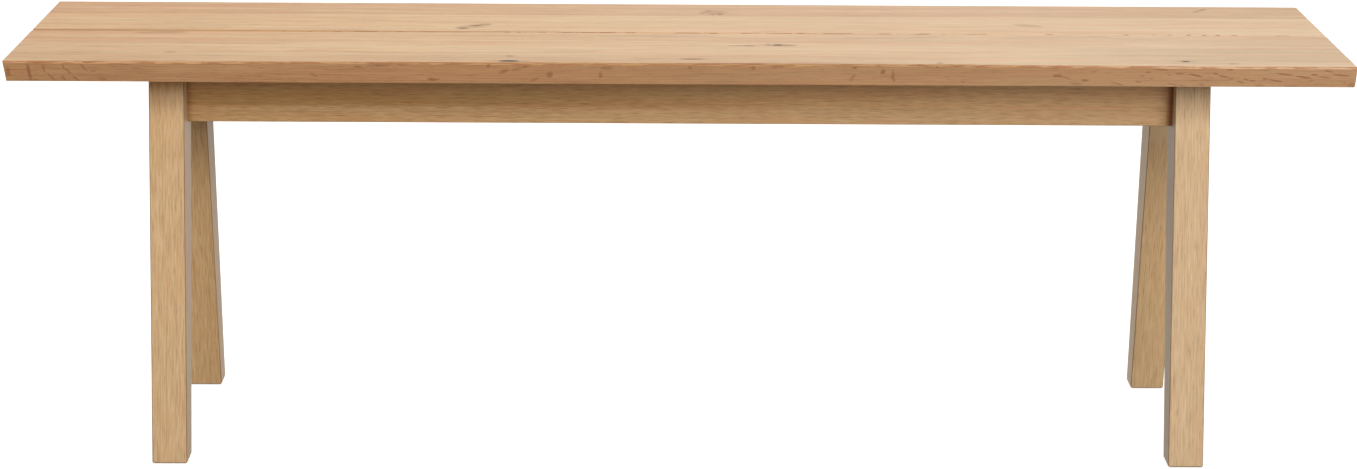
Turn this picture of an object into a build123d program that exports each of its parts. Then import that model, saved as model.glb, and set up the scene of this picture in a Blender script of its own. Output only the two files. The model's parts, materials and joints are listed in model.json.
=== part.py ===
from build123d import *

import os
from math import sqrt

# An oak dining bench: a slab seat of four staves on a dowelled frame with four raked, tapered legs.
# Millimetres. The origin is on the floor under the middle of the seat, +X runs along the bench
# to its right, +Y to its back and +Z up.

# Seat
seat_length = 1500.0
seat_depth = 380.0
seat_height = 470.0  # floor to the top of the seat
seat_thickness = 23.0
rear_inner_width = 110.0  # centre groove to the rear glue line
front_inner_width = 82.0  # centre groove to the front glue line
rim_undercut = 3.0  # how far the rim leans in from the top to the underside
rim_corner_radius = 2.0
groove_half_width = 4.0  # each board's share of the V-groove, planed at 45 degrees
arris_width = 6.0  # scraped arris along the front and back, on the top
arris_drop = 1.5  # the same arris, down the edge

# Biscuits in the centre joint
biscuit_length = 56.0
biscuit_width = 23.0
biscuit_thickness = 4.0
biscuit_count = 7
biscuit_end_margin = 132.0  # seat end to the middle of the first biscuit

# Legs
leg_width = 40.0  # along the bench
leg_top_depth = 64.0  # front to back, under the seat
leg_foot_depth = 38.0  # front to back, at the foot
leg_pair_gap = 100.0  # clear between a front and a rear leg, under the seat
foot_spread = 356.0  # over the feet, front to back
end_overhang = 150.0  # seat end to the leg's outer side
leg_edge_radius = 1.5
foot_chamfer = 2.0

# Rails of the frame
apron_height = 65.0
apron_thickness = 22.0
apron_setback = 20.5  # leg's front to the apron's face, under the seat
end_rail_thickness = 22.0
end_rail_setback = 9.0  # leg's outer side to the end rail's face
middle_rail_thickness = 22.0
middle_rail_height = 50.0
rail_edge_radius = 1.5

# Dowels
dowel_diameter = 8.0
joint_web = 2.5  # wood left between neighbouring bores in a leg
dowel_in_leg = 28.0
apron_dowel_in_apron = 32.0
end_rail_dowel_in_rail = 20.0
middle_dowel_in_apron = 14.0
middle_dowel_in_rail = 26.0
middle_dowel_spacing = 26.0

# Corner brackets, pressed from steel strip
corner_plate = 2.0
corner_bracket_height = 44.0
corner_flange = 16.0
corner_stand_off = 5.0  # leg's inner corner to the bracket, at the bracket's top
corner_screw_spacing = 26.0
corner_bend_radius = 1.5

# Hanger bolts, washers and nuts
bolt_diameter = 8.0
bolt_clearance = 0.5  # all round, in the bracket's hole
bolt_in_leg = 34.0
bolt_tip = 4.0
bolt_proud = 5.0  # past the nut
washer_diameter = 20.0
washer_thickness = 1.6
nut_across_flats = 13.0
nut_height = 6.5

# Angle brackets under the seat
angle_width = 34.0
angle_leg = 22.0
angle_plate = 2.0
angle_bend_radius = 1.5
plate_tip_radius = 4.0  # rounded tips of both kinds of bracket
angle_screw_spacing = 18.0
angle_screw_height = 13.0  # bend to the apron screws, and to the middle of the seat's slot
angle_slot_travel = 6.0  # the seat's screw can shift this far across the grain
angle_slot_clearance = 0.3  # all round the screw
angle_place_shares = (-0.72, -0.28, 0.28, 0.72)  # of the half length between the legs

# Wood screws, pan headed
screw_diameter = 4.0
screw_length = 16.0
screw_tip = 4.0
screw_head_diameter = 8.0
screw_head_height = 2.4
screw_head_rim = 1.0
recess_length = 4.4
recess_width = 1.1
recess_depth = 1.2

# Foot glides and their nails
glide_diameter = 22.0
glide_thickness = 4.0
glide_proud = 1.0
glide_chamfer = 0.8
glide_sink_diameter = 8.0
glide_sink_depth = 1.4
nail_diameter = 2.5
nail_length = 18.0
nail_tip = 4.0
nail_head_diameter = 5.5
nail_head_height = 0.9
fastener_chamfer = 0.6  # dowels' ends, and the corners of nuts and bolt ends

# Places worked out from the sizes above
overrun = 20.0  # how far a cut passes what it cuts
half_length = seat_length / 2
half_depth = seat_depth / 2
rim_top_depth = seat_depth + 2 * rim_undercut * arris_drop / seat_thickness  # before the arris is cut
seat_underside = seat_height - seat_thickness
seat_middle = seat_underside + seat_thickness / 2
biscuit_pitch = (seat_length - 2 * biscuit_end_margin) / (biscuit_count - 1)

leg_outer_x = half_length - end_overhang
leg_middle_x = leg_outer_x - leg_width / 2
leg_inner_x = leg_outer_x - leg_width
leg_inner_y = leg_pair_gap / 2
leg_outer_y = leg_inner_y + leg_top_depth
foot_outer_y = foot_spread / 2
foot_inner_y = foot_outer_y - leg_foot_depth
foot_middle_y = (foot_outer_y + foot_inner_y) / 2
foot_z = glide_proud
leg_height = seat_underside - foot_z

apron_outer_y = leg_outer_y - apron_setback
apron_inner_y = apron_outer_y - apron_thickness
apron_middle_y = (apron_outer_y + apron_inner_y) / 2
apron_bottom = seat_underside - apron_height
apron_middle_z = seat_underside - apron_height / 2
end_rail_outer_x = leg_outer_x - end_rail_setback
end_rail_inner_x = end_rail_outer_x - end_rail_thickness
end_rail_middle_x = (end_rail_outer_x + end_rail_inner_x) / 2
middle_rail_bottom = seat_underside - middle_rail_height
middle_rail_middle_z = seat_underside - middle_rail_height / 2

# Heights of the bores in a leg, so that none of them meets another
dowel_radius = dowel_diameter / 2
bolt_radius = bolt_diameter / 2
end_dowel_rise = bolt_radius + joint_web + dowel_radius
apron_dowel_rise = end_dowel_rise + 2 * dowel_radius + joint_web
end_dowel_heights = (apron_middle_z - end_dowel_rise, apron_middle_z + end_dowel_rise)
apron_dowel_heights = (apron_middle_z - apron_dowel_rise, apron_middle_z + apron_dowel_rise)
middle_dowel_heights = (
    middle_rail_middle_z - middle_dowel_spacing / 2,
    middle_rail_middle_z + middle_dowel_spacing / 2,
)

corners = {
    "front_left": (-1, -1),
    "front_right": (1, -1),
    "rear_left": (-1, 1),
    "rear_right": (1, 1),
}


def leg_inner_y_at(height):
    """How far from the bench's middle a leg's inner face is, at a height above the floor."""
    return leg_inner_y + (foot_inner_y - leg_inner_y) * (seat_underside - height) / leg_height


# Corner bracket places, measured from where the apron's and the end rail's inner faces would cross
bracket_top = apron_middle_z + corner_bracket_height / 2
leg_corner_reach = (
    end_rail_inner_x - leg_inner_x + apron_inner_y - leg_inner_y_at(bracket_top)
) / sqrt(2)
bracket_inner_reach = leg_corner_reach + corner_stand_off + corner_plate
bracket_span = bracket_inner_reach * sqrt(2)
bracket_outer_span = bracket_span - corner_plate * sqrt(2)
corner_screw_heights = (
    apron_middle_z - corner_screw_spacing / 2,
    apron_middle_z + corner_screw_spacing / 2,
)
bolt_axis_reach = (end_rail_inner_x - leg_inner_x) * sqrt(2)  # where the bolt enters the leg's side
bolt_inner_reach = bracket_inner_reach + washer_thickness + nut_height + bolt_proud
bolt_length = bolt_inner_reach - bolt_axis_reach + bolt_in_leg

angle_places_x = [share * leg_inner_x for share in angle_place_shares]


def corner_point(side_x, side_y, along_rail, along_apron, height):
    """A point near a corner: so far from the corner along the end rail, and along the apron."""
    return (
        side_x * (end_rail_inner_x - along_apron),
        side_y * (apron_inner_y - along_rail),
        height,
    )


def diagonal_plane(side_x, side_y, reach, height):
    """A plane square to a corner's diagonal, facing the bench's middle, so far from the corner."""
    step = reach / sqrt(2)
    return Plane(
        origin=corner_point(side_x, side_y, step, step, height),
        x_dir=(0, 0, 1),
        z_dir=(-side_x, -side_y, 0),
    )


def apron_dowel_planes(side_x, side_y):
    """Planes on a leg's inner side, facing the apron, one for each dowel."""
    return [
        Plane(origin=(side_x * leg_inner_x, side_y * apron_middle_y, height), z_dir=(-side_x, 0, 0))
        for height in apron_dowel_heights
    ]


def end_dowel_planes(side_x, side_y):
    """Planes at a leg's raked inner face, facing the end rail, one for each dowel."""
    return [
        Plane(
            origin=(side_x * end_rail_middle_x, side_y * leg_inner_y_at(height), height),
            z_dir=(0, -side_y, 0),
        )
        for height in end_dowel_heights
    ]


def middle_dowel_planes(side_y):
    """Planes on an apron's inner face, facing the middle rail, one for each dowel."""
    return [
        Plane(origin=(0, side_y * apron_inner_y, height), z_dir=(0, -side_y, 0))
        for height in middle_dowel_heights
    ]


def flange_screw_planes(side_x, side_y, on_apron):
    """Planes on a corner bracket's flange, facing the screwdriver, one for each screw."""
    middle = bracket_span + corner_flange / 2
    planes = []
    for height in corner_screw_heights:
        if on_apron:
            origin = corner_point(side_x, side_y, corner_plate, middle, height)
            planes.append(Plane(origin=origin, z_dir=(0, -side_y, 0)))
        else:
            origin = corner_point(side_x, side_y, middle, corner_plate, height)
            planes.append(Plane(origin=origin, z_dir=(-side_x, 0, 0)))
    return planes


def angle_screw_planes(side_y):
    """Planes on the angle brackets' upright legs, facing the screwdriver, two for each bracket."""
    return [
        Plane(
            origin=(
                place_x + side_x * angle_screw_spacing / 2,
                side_y * (apron_inner_y - angle_plate),
                seat_underside - angle_screw_height,
            ),
            z_dir=(0, -side_y, 0),
        )
        for place_x in angle_places_x
        for side_x in (-1, 1)
    ]


def seat_screw_planes(side_y):
    """Planes under the angle brackets' level legs, facing down, one for each bracket."""
    return [
        Plane(
            origin=(
                place_x,
                side_y * (apron_inner_y - angle_screw_height),
                seat_underside - angle_plate,
            ),
            z_dir=(0, 0, -1),
        )
        for place_x in angle_places_x
    ]


def foot_plane(side_x, side_y, height):
    """A level plane under the middle of a foot, facing the floor."""
    return Plane(origin=(side_x * leg_middle_x, side_y * foot_middle_y, height), z_dir=(0, 0, -1))


os.makedirs("parts", exist_ok=True)


def finish(part, name):
    """Label a finished piece and write it."""
    part.label = name
    export_step(part, f"parts/{name}.step")


# One biscuit's outline: two flat arcs that meet at its ends
with BuildSketch() as biscuit_outline:
    with BuildLine():
        ThreePointArc((-biscuit_length / 2, 0), (0, biscuit_width / 2), (biscuit_length / 2, 0))
        ThreePointArc((biscuit_length / 2, 0), (0, -biscuit_width / 2), (-biscuit_length / 2, 0))
    make_face()

with BuildPart() as biscuits:
    with BuildSketch(Plane.XY.offset(seat_middle)):
        with GridLocations(biscuit_pitch, biscuit_pitch, biscuit_count, 1):
            add(biscuit_outline.sketch)
    extrude(amount=biscuit_thickness / 2, both=True)
finish(biscuits.part, "centre_joint_biscuits")


def seat_stave(name, section, holds_biscuits, side_y):
    """One stave of the seat: its own cross-section of the slab whose rim leans in all round."""
    with BuildPart() as stave:
        with BuildSketch(Plane.XY.offset(seat_height)):
            RectangleRounded(seat_length, rim_top_depth, rim_corner_radius)
        with BuildSketch(Plane.XY.offset(seat_underside)):
            RectangleRounded(
                seat_length - 2 * rim_undercut, rim_top_depth - 2 * rim_undercut, rim_corner_radius
            )
        loft(ruled=True)
        with BuildSketch(Plane.YZ):
            with BuildLine():
                Polyline(*section, close=True)
            make_face()
        extrude(amount=half_length + overrun, both=True, mode=Mode.INTERSECT)
        if holds_biscuits:
            add(biscuits.part, mode=Mode.SUBTRACT)
            with Locations(*seat_screw_planes(side_y)):
                Hole(screw_diameter / 2, depth=screw_length)
    finish(stave.part, name)


def outer_section(side_y, joint_y):
    """From a glue line to past the rim, with the scraped arris cut off the top corner."""
    slope = arris_drop / arris_width
    return [
        (side_y * joint_y, seat_underside),
        (side_y * joint_y, seat_height),
        (side_y * (half_depth - arris_width), seat_height),
        (side_y * (half_depth + overrun), seat_height - (arris_width + overrun) * slope),
        (side_y * (half_depth + overrun), seat_underside),
    ]


def inner_section(side_y, joint_y):
    """From the centre joint to a glue line, with half of the V-groove."""
    return [
        (0, seat_underside),
        (0, seat_height - groove_half_width),
        (side_y * groove_half_width, seat_height),
        (side_y * joint_y, seat_height),
        (side_y * joint_y, seat_underside),
    ]


seat_stave("rear_outer_stave", outer_section(1, rear_inner_width), False, 1)
seat_stave("rear_inner_stave", inner_section(1, rear_inner_width), True, 1)
seat_stave("front_inner_stave", inner_section(-1, front_inner_width), True, -1)
seat_stave("front_outer_stave", outer_section(-1, front_inner_width), False, -1)


def leg(name, side_x, side_y):
    """A leg, sawn to a raked taper, bored for its dowels, its hanger bolt and its glide."""
    with BuildPart() as post:
        with BuildSketch(Plane.YZ.offset(side_x * leg_middle_x)):
            with BuildLine():
                Polyline(
                    (side_y * leg_inner_y, seat_underside),
                    (side_y * leg_outer_y, seat_underside),
                    (side_y * foot_outer_y, foot_z),
                    (side_y * foot_inner_y, foot_z),
                    close=True,
                )
            make_face()
        extrude(amount=leg_width / 2, both=True)
        chamfer(post.faces().sort_by(Axis.Z).first.edges(), foot_chamfer)
        fillet(post.edges().sort_by(SortBy.LENGTH)[-4:], leg_edge_radius)
        with Locations(*apron_dowel_planes(side_x, side_y), *end_dowel_planes(side_x, side_y)):
            Hole(dowel_radius, depth=dowel_in_leg)
        with Locations(diagonal_plane(side_x, side_y, bolt_axis_reach, apron_middle_z)):
            Hole(bolt_radius, depth=bolt_in_leg)
        with Locations(foot_plane(side_x, side_y, foot_z)):
            Hole(glide_diameter / 2, depth=glide_thickness - glide_proud)
        with Locations(foot_plane(side_x, side_y, glide_sink_depth)):
            Hole(nail_diameter / 2, depth=nail_length)
    finish(post.part, name)


for corner, (side_x, side_y) in corners.items():
    leg(f"{corner}_leg", side_x, side_y)


def apron(name, side_y):
    """A long rail between two legs, bored for dowels at its ends and middle, and for its screws."""
    with BuildPart() as rail:
        with BuildSketch(Plane.XY.offset(apron_bottom)):
            with Locations((0, side_y * apron_middle_y)):
                Rectangle(2 * leg_inner_x, apron_thickness)
        extrude(amount=apron_height)
        fillet(rail.faces().sort_by(Axis.Z).first.edges().filter_by(Axis.X), rail_edge_radius)
        for side_x in (-1, 1):
            with Locations(*apron_dowel_planes(side_x, side_y)):
                Hole(dowel_radius, depth=apron_dowel_in_apron)
            with Locations(*flange_screw_planes(side_x, side_y, True)):
                Hole(screw_diameter / 2, depth=screw_length)
        with Locations(*middle_dowel_planes(side_y)):
            Hole(dowel_radius, depth=middle_dowel_in_apron)
        with Locations(*angle_screw_planes(side_y)):
            Hole(screw_diameter / 2, depth=screw_length)
    finish(rail.part, name)


apron("front_apron", -1)
apron("rear_apron", 1)


def end_rail(name, side_x):
    """A short rail between a front and a rear leg, its ends cut to the legs' rake."""
    foot_y = leg_inner_y_at(apron_bottom)
    with BuildPart() as rail:
        with BuildSketch(Plane.YZ.offset(side_x * end_rail_middle_x)):
            with BuildLine():
                Polyline(
                    (-leg_inner_y, seat_underside),
                    (leg_inner_y, seat_underside),
                    (foot_y, apron_bottom),
                    (-foot_y, apron_bottom),
                    close=True,
                )
            make_face()
        extrude(amount=end_rail_thickness / 2, both=True)
        fillet(rail.faces().sort_by(Axis.Z).first.edges().filter_by(Axis.Y), rail_edge_radius)
        for side_y in (-1, 1):
            with Locations(*end_dowel_planes(side_x, side_y)):
                Hole(dowel_radius, depth=end_rail_dowel_in_rail)
            with Locations(*flange_screw_planes(side_x, side_y, False)):
                Hole(screw_diameter / 2, depth=screw_length)
    finish(rail.part, name)


end_rail("left_end_rail", -1)
end_rail("right_end_rail", 1)

with BuildPart() as middle_rail:
    with BuildSketch(Plane.XY.offset(middle_rail_bottom)):
        Rectangle(middle_rail_thickness, 2 * apron_inner_y)
    extrude(amount=middle_rail_height)
    fillet(middle_rail.faces().sort_by(Axis.Z).first.edges().filter_by(Axis.Y), rail_edge_radius)
    for side_y in (-1, 1):
        with Locations(*middle_dowel_planes(side_y)):
            Hole(dowel_radius, depth=middle_dowel_in_rail)
finish(middle_rail.part, "middle_rail")


def dowel_pin(in_leg, in_rail):
    """A dowel across a joint at height 0: so much below it in one piece, and above it in the other."""
    with BuildPart(Plane.XY.offset(-in_leg)) as pin:
        Cylinder(dowel_radius, in_leg + in_rail, align=(Align.CENTER, Align.CENTER, Align.MIN))
        chamfer(pin.edges().filter_by(GeomType.CIRCLE), fastener_chamfer)
    return pin.part


apron_dowel = dowel_pin(dowel_in_leg, apron_dowel_in_apron)
end_dowel = dowel_pin(dowel_in_leg, end_rail_dowel_in_rail)
middle_dowel = dowel_pin(middle_dowel_in_apron, middle_dowel_in_rail)

with BuildPart() as apron_dowels:
    for side_x, side_y in corners.values():
        with Locations(*apron_dowel_planes(side_x, side_y)):
            add(apron_dowel)
finish(apron_dowels.part, "apron_dowels")

with BuildPart() as end_rail_dowels:
    for side_x, side_y in corners.values():
        with Locations(*end_dowel_planes(side_x, side_y)):
            add(end_dowel)
finish(end_rail_dowels.part, "end_rail_dowels")

with BuildPart() as middle_rail_dowels:
    for side_y in (-1, 1):
        with Locations(*middle_dowel_planes(side_y)):
            add(middle_dowel)
finish(middle_rail_dowels.part, "middle_rail_dowels")


def corner_bracket(name, side_x, side_y):
    """A strip of steel bent across a corner: a plate for the hanger bolt between two flanges."""
    outline = [
        (bracket_span + corner_flange, 0),
        (bracket_outer_span, 0),
        (0, bracket_outer_span),
        (0, bracket_span + corner_flange),
        (corner_plate, bracket_span + corner_flange),
        (corner_plate, bracket_span - corner_plate),
        (bracket_span - corner_plate, corner_plate),
        (bracket_span + corner_flange, corner_plate),
    ]
    corner_middle = Vector(corner_point(side_x, side_y, 0, 0, apron_middle_z))
    with BuildPart() as bracket:
        with BuildSketch(Plane.XY.offset(apron_middle_z)):
            with BuildLine():
                Polyline(
                    *[
                        corner_point(side_x, side_y, along_rail, along_apron, 0)
                        for along_apron, along_rail in outline
                    ],
                    close=True,
                )
            make_face()
        extrude(amount=corner_bracket_height / 2, both=True)
        fillet(bracket.edges().group_by(SortBy.LENGTH)[0], plate_tip_radius)
        bends = bracket.edges().filter_by(Axis.Z).sort_by_distance(corner_middle)[:4]
        fillet(bends, corner_bend_radius)
        with Locations(diagonal_plane(side_x, side_y, bracket_inner_reach, apron_middle_z)):
            Hole(bolt_radius + bolt_clearance, depth=corner_plate + overrun)
        for on_apron in (True, False):
            with Locations(*flange_screw_planes(side_x, side_y, on_apron)):
                Hole(screw_diameter / 2, depth=screw_length)
    finish(bracket.part, name)


for corner, (side_x, side_y) in corners.items():
    corner_bracket(f"{corner}_corner_bracket", side_x, side_y)

# A hanger bolt with its inner end at height 0 and its wood screw end, pointed, below
with BuildPart() as hanger_bolt:
    with BuildSketch(Plane.XZ):
        with BuildLine():
            Polyline(
                (0, 0),
                (bolt_radius - fastener_chamfer, 0),
                (bolt_radius, -fastener_chamfer),
                (bolt_radius, bolt_tip - bolt_length),
                (0, -bolt_length),
                close=True,
            )
        make_face()
    revolve(axis=Axis.Z)

with BuildPart() as bolt_washer:
    with BuildSketch():
        Circle(washer_diameter / 2)
        Circle(bolt_radius, mode=Mode.SUBTRACT)
    extrude(amount=washer_thickness)

# A hexagon nut: a chamfered round blank, cut to its six sides
with BuildPart() as bolt_nut:
    with BuildSketch():
        Circle(nut_across_flats / sqrt(3))
        Circle(bolt_radius, mode=Mode.SUBTRACT)
    extrude(amount=nut_height)
    chamfer(bolt_nut.faces().sort_by(Axis.Z).last.edges().sort_by(SortBy.RADIUS).last, fastener_chamfer)
    with BuildSketch():
        RegularPolygon(nut_across_flats / 2, 6, major_radius=False)
    extrude(amount=nut_height, mode=Mode.INTERSECT)


def on_each_bolt(piece, reach, name):
    """Set a copy of a piece on each corner's bolt axis, so far from the corner."""
    with BuildPart() as group:
        for side_x, side_y in corners.values():
            with Locations(diagonal_plane(side_x, side_y, reach, apron_middle_z)):
                add(piece)
    finish(group.part, name)


on_each_bolt(hanger_bolt.part, bolt_inner_reach, "hanger_bolts")
on_each_bolt(bolt_washer.part, bracket_inner_reach, "bolt_washers")
on_each_bolt(bolt_nut.part, bracket_inner_reach + washer_thickness, "bolt_nuts")

# A pan headed wood screw with the underside of its head at height 0
with BuildPart() as wood_screw:
    with BuildSketch(Plane.XZ):
        with BuildLine():
            Polyline(
                (0, screw_head_height),
                (0, -screw_length),
                (screw_diameter / 2, screw_tip - screw_length),
                (screw_diameter / 2, 0),
                (screw_head_diameter / 2, 0),
                (screw_head_diameter / 2, screw_head_rim),
            )
            TangentArc(
                (0, screw_head_height), (screw_head_diameter / 2, screw_head_rim), tangent=(1, 0)
            )
        make_face()
    revolve(axis=Axis.Z)
    with Locations((0, 0, screw_head_height)):
        Box(recess_length, recess_width, 2 * recess_depth, mode=Mode.SUBTRACT)
        Box(recess_width, recess_length, 2 * recess_depth, mode=Mode.SUBTRACT)

with BuildPart() as corner_bracket_screws:
    for side_x, side_y in corners.values():
        for on_apron in (True, False):
            with Locations(*flange_screw_planes(side_x, side_y, on_apron)):
                add(wood_screw.part)
finish(corner_bracket_screws.part, "corner_bracket_screws")

with BuildPart() as angle_bracket_screws:
    for side_y in (-1, 1):
        with Locations(*angle_screw_planes(side_y)):
            add(wood_screw.part)
finish(angle_bracket_screws.part, "angle_bracket_screws")

with BuildPart() as seat_screws:
    for side_y in (-1, 1):
        with Locations(*seat_screw_planes(side_y)):
            add(wood_screw.part)
finish(seat_screws.part, "seat_screws")


def angle_bracket(side_y):
    """A steel angle in the corner of an apron and the seat, at the bench's middle."""
    bend = Vector(0, side_y * apron_inner_y, seat_underside)
    tip_y = side_y * (apron_inner_y - angle_leg)
    face_y = side_y * (apron_inner_y - angle_plate)
    with BuildPart() as bracket:
        with BuildSketch(Plane.YZ):
            with BuildLine():
                Polyline(
                    (side_y * apron_inner_y, seat_underside - angle_leg),
                    (side_y * apron_inner_y, seat_underside),
                    (tip_y, seat_underside),
                    (tip_y, seat_underside - angle_plate),
                    (face_y, seat_underside - angle_plate),
                    (face_y, seat_underside - angle_leg),
                    close=True,
                )
            make_face()
        extrude(amount=angle_width / 2, both=True)
        fillet(bracket.edges().group_by(SortBy.LENGTH)[0], plate_tip_radius)
        fillet(bracket.edges().filter_by(Axis.X).sort_by_distance(bend)[:2], angle_bend_radius)
        for side_x in (-1, 1):
            hole_place = (side_x * angle_screw_spacing / 2, face_y, seat_underside - angle_screw_height)
            with Locations(Plane(origin=hole_place, z_dir=(0, -side_y, 0))):
                Hole(screw_diameter / 2, depth=screw_length)
        with BuildSketch(Plane.XY.offset(seat_underside - angle_plate)):
            with Locations((0, side_y * (apron_inner_y - angle_screw_height))):
                SlotCenterToCenter(
                    angle_slot_travel, screw_diameter + 2 * angle_slot_clearance, rotation=90
                )
        extrude(amount=angle_plate, mode=Mode.SUBTRACT)
    return bracket.part


front_angle = angle_bracket(-1)
rear_angle = angle_bracket(1)
with BuildPart() as seat_angle_brackets:
    with Locations(*[(place_x, 0, 0) for place_x in angle_places_x]):
        add(front_angle)
        add(rear_angle)
finish(seat_angle_brackets.part, "seat_angle_brackets")

# A nylon glide with its sole at height 0 and its body below, turned upside down under each foot
with BuildPart() as foot_glide:
    with BuildSketch():
        Circle(glide_diameter / 2)
    extrude(amount=-glide_thickness)
    chamfer(foot_glide.faces().sort_by(Axis.Z).last.edges(), glide_chamfer)
    Hole(nail_diameter / 2)
    Hole(glide_sink_diameter / 2, depth=glide_sink_depth)

# A glide nail with the underside of its head at height 0
with BuildPart() as glide_nail:
    with BuildSketch(Plane.XZ):
        with BuildLine():
            Polyline(
                (0, nail_head_height),
                (0, -nail_length),
                (nail_diameter / 2, nail_tip - nail_length),
                (nail_diameter / 2, 0),
                (nail_head_diameter / 2, 0),
                (nail_head_diameter / 2, nail_head_height),
                close=True,
            )
        make_face()
    revolve(axis=Axis.Z)

with BuildPart() as foot_glides:
    for side_x, side_y in corners.values():
        with Locations(foot_plane(side_x, side_y, 0)):
            add(foot_glide.part)
finish(foot_glides.part, "foot_glides")

with BuildPart() as glide_nails:
    for side_x, side_y in corners.values():
        with Locations(foot_plane(side_x, side_y, glide_sink_depth)):
            add(glide_nail.part)
finish(glide_nails.part, "glide_nails")
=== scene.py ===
# %% [markdown]
# # An oak dining bench, dressed in Blender
# The bench is already built as solids: four seat staves, four raked legs, aprons and rails, and the
# hidden dowels, brackets, bolts and glides. They are loaded here as a fixed frame, in metres, with
# the floor at z = 0 and the front of the bench towards -Y. What is left to do is how it looks: the
# hand-scraped edges of the seat, the grain and lacquer of the oak, the plated steel underneath, and
# the light. Everything is worked out in millimetres and turned to metres where it is used.

import json
import math

import bmesh
import bpy
from mathutils import Euler, Matrix, Vector, noise


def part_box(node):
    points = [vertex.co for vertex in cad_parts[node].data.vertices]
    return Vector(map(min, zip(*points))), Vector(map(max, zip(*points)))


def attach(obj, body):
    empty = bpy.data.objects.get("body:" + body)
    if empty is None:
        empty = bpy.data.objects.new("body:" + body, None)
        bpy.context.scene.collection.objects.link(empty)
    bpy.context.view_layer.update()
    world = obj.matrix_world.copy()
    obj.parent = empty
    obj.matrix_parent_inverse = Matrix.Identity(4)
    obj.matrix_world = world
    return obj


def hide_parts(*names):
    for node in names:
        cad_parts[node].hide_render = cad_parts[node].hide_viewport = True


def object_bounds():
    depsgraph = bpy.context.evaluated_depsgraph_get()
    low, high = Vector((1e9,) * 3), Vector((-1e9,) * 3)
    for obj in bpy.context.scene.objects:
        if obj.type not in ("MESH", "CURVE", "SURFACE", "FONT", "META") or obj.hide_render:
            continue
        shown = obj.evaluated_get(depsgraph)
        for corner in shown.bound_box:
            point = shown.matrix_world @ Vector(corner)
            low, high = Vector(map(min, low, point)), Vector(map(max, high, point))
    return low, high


MM = 0.001
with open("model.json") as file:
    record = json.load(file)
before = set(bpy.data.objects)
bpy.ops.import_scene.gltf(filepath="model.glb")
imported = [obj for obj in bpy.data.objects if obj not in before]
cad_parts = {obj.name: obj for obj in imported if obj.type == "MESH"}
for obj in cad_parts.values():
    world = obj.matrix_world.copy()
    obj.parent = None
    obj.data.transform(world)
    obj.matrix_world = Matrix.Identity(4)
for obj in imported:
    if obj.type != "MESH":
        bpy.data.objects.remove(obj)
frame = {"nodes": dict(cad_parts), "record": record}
nodes = frame["nodes"]
cad_low, cad_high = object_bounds()
half_length = cad_high.x / MM
print("the bench measures", [round(side / MM) for side in cad_high - cad_low], "mm")

# %% [markdown]
# ## The camera
# A product photographer stood almost 4 m in front of the bench with a long lens, a little left of
# its middle and a little above 1.1 m, and tilted the camera down. About sixty edges of the bench
# were measured in the photograph, and the camera's place, its three turns and its lens were fitted
# to them, so that the render can be laid over the photograph. The image is 1357 pixels wide.

# %% Camera
image_width_px = 1357
sensor_mm = 36.0
lens_px = 3415.4  # the fitted focal length, in pixels of the photograph
camera_place_mm = Vector((-31.6, -3899.5, 1197.5))
tilt_down_deg = 13.948
turn_right_deg = 0.464
roll_deg = 0.369

camera = bpy.data.objects.new("camera", bpy.data.cameras.new("camera"))
bpy.context.scene.collection.objects.link(camera)
bpy.context.scene.camera = camera
camera.data.sensor_width = sensor_mm
camera.data.lens = lens_px * sensor_mm / image_width_px
camera.data.clip_end = 200.0
camera.location = camera_place_mm * MM
upright = Euler((math.radians(90.0 - tilt_down_deg), 0.0, -math.radians(turn_right_deg)))
roll = Matrix.Rotation(math.radians(roll_deg), 3, "Z")
camera.rotation_euler = (upright.to_matrix() @ roll).to_euler()
bpy.context.scene.view_settings.view_transform = "Standard"
print("lens", round(camera.data.lens, 1), "mm")

# %% [markdown]
# ## A node at a time
# Blender's materials are graphs of nodes. Placing them by hand is slow to read in code, so one small
# function adds a node, sets what it is told, and either fills or links each of its inputs. Colours
# are written as the hex values a designer would use, and one function turns them to the linear
# values that the shaders count in.

# %% Adding nodes and reading colours
def add(tree, kind, sockets=None, stops=(), **settings):
    """Adds one shader node. Each socket gets a value, or a link if an output is given for it. A
    colour ramp gets its stops, as (place, hex)."""
    made = tree.nodes.new("ShaderNode" + kind)
    for name, value in settings.items():
        setattr(made, name, value)
    if stops:
        marks = made.color_ramp.elements
        while len(marks) < len(stops):
            marks.new(0.5)
        for mark, (place, hex_colour) in zip(marks, stops):
            mark.position = place
            mark.color = linear(hex_colour)
    for name, value in (sockets or {}).items():
        if isinstance(value, bpy.types.NodeSocket):
            tree.links.new(value, made.inputs[name])
        else:
            made.inputs[name].default_value = value
    return made


def linear(hex_colour):
    """Turns an sRGB hex colour such as C8A27A to linear red, green, blue and alpha."""
    shares = [int(hex_colour[place : place + 2], 16) / 255 for place in (0, 2, 4)]
    return [s / 12.92 if s <= 0.04045 else ((s + 0.055) / 1.055) ** 2.4 for s in shares] + [1.0]


def new_material(name):
    """An empty node material and its tree."""
    material = bpy.data.materials.new(name)
    material.use_nodes = True
    material.node_tree.nodes.clear()
    return material, material.node_tree


def surface(tree, sockets):
    """Ends a tree in one principled surface."""
    shader = add(tree, "BsdfPrincipled", sockets)
    add(tree, "OutputMaterial", {"Surface": shader.outputs[0]})


MIX_A, MIX_B, MIX_OUT = 6, 7, 2  # the colour sockets of a Mix node
print("oak reads as", [round(share, 3) for share in linear("C8A27A")[:3]])

# %% [markdown]
# ## Floor and surroundings
# The bench was photographed in a white studio and cut out on white. A floor of real paint would
# throw warm or white light up under the seat, and a pure white world would flood every shadow.
# So the camera and the lacquer's reflections see white, while the light that bounces about is kept
# to a plain level. The floor is a single large sheet that shows from above only, so that a camera
# below it can still look up at the underside, and a little of its colour is real paint, which
# keeps the soft shadow that the bench stands in.

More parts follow.
